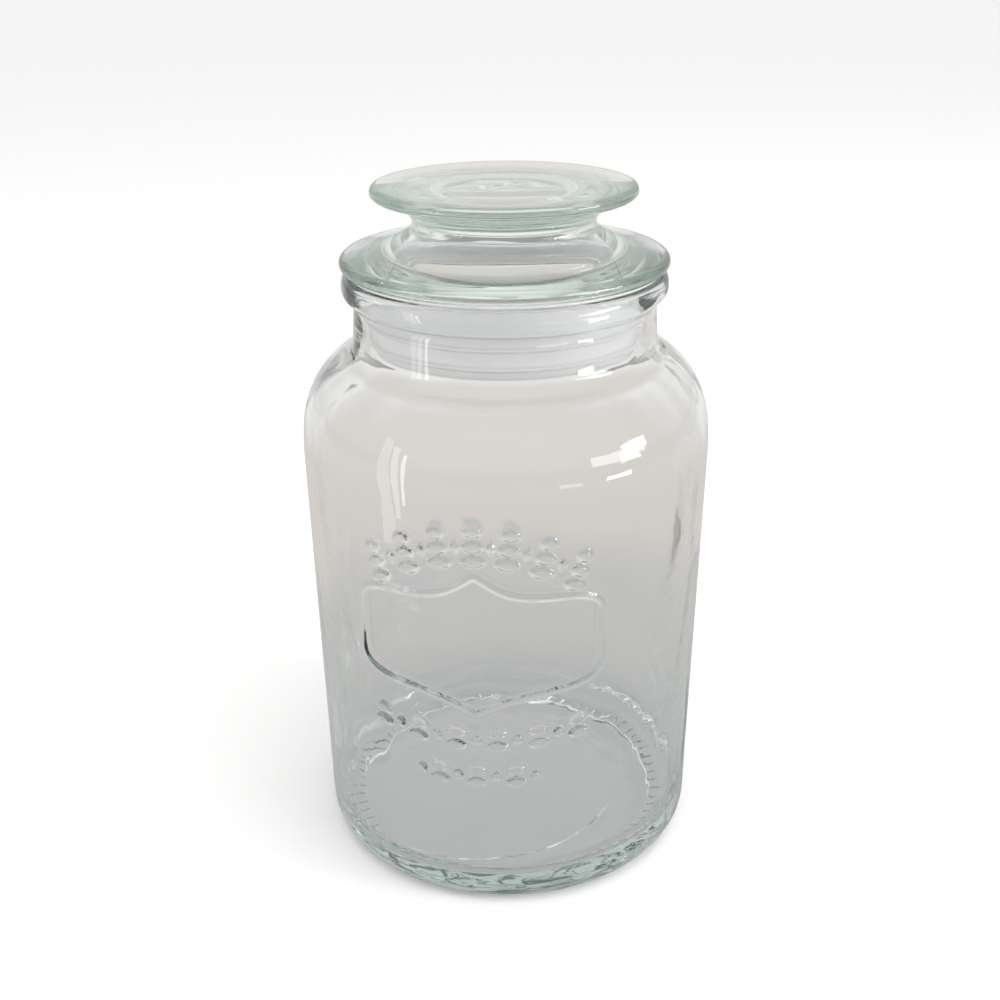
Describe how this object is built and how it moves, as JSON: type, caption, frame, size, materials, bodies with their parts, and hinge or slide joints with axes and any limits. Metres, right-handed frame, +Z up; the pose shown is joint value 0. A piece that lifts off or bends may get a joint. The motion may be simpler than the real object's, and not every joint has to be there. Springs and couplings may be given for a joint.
{
  "type": "apothecary jar",
  "caption": "Round glass apothecary jar with a short neck, a lift-off glass lid topped by a disc knob, and a soft plastic sealing ring.",
  "frame": {"origin": "middle of the base, on the surface that the jar stands on", "axes": "+Z up the jar's axis, from the base to the lid's knob; +X to the viewer's right"},
  "size_m": [0.15, 0.15, 0.2537],
  "materials": {
    "jar_glass": "clear pressed soda-lime glass with a faint grey-green tint",
    "lid_glass": "clear pressed soda-lime glass, thicker and so a little greener",
    "seal_plastic": "translucent milky polyethylene"
  },
  "bodies": {
    "jar": {"jar_body": "jar_glass"},
    "seal": {"seal_ring": "seal_plastic"},
    "lid": {"lid": "lid_glass"}
  },
  "joints": [
    {"name": "lid_lift", "type": "slide", "parent": "jar", "child": "seal", "axis": [0, 0, 1], "range_m": [0, 0.07]},
    {"name": "lid_turn", "type": "hinge", "parent": "seal", "child": "lid", "pos_m": [0, 0, 0.2252], "axis": [0, 0, 1], "continuous": true}
  ]
}
